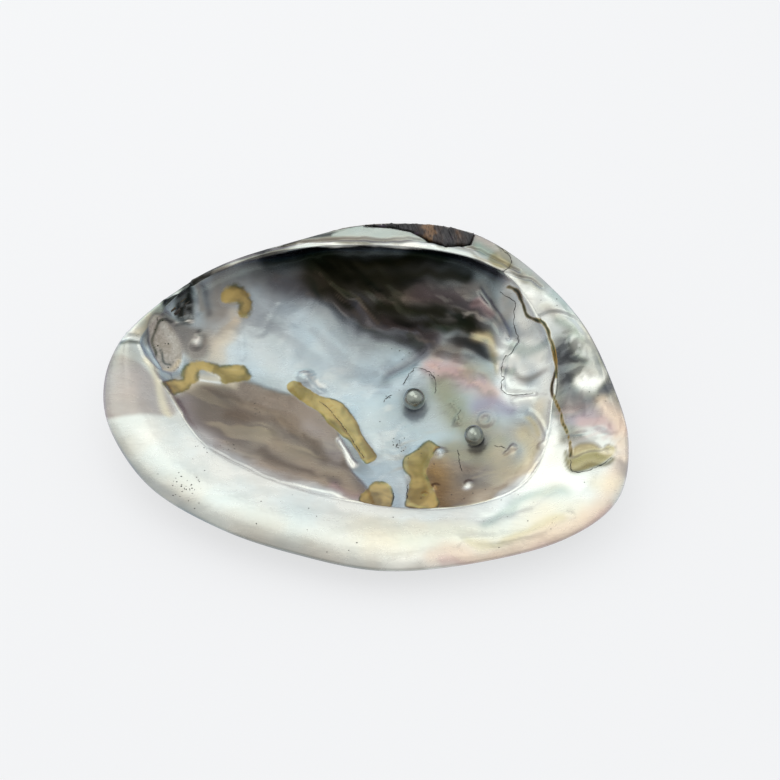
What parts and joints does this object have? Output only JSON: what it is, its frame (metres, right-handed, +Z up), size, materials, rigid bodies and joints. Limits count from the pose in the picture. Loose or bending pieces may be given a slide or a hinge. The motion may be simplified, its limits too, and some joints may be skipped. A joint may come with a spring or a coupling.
{
  "type": "mother of pearl shell",
  "caption": "One valve of a large pearl mussel, nacre side up, with a dried hinge ligament and round pearls in its bowl.",
  "frame": {"origin": "centre of the bounding box in X and Y, on the floor plane that the valve rests on", "axes": "+X along the valve's length towards its broad rear end, +Y towards the hinge, +Z up out of the open side"},
  "size_m": [0.1674, 0.1198, 0.0365],
  "materials": {
    "nacre": "glossy iridescent nacre inside, eroded brown skin outside",
    "ligament": "dried, flaked, dark brown to black",
    "pearl": "silver grey pearl lustre"
  },
  "bodies": {
    "root": {"shell": "nacre", "hinge_ligament": "ligament", "pearl_large": "pearl", "pearl_small": "pearl"}
  },
  "joints": []
}
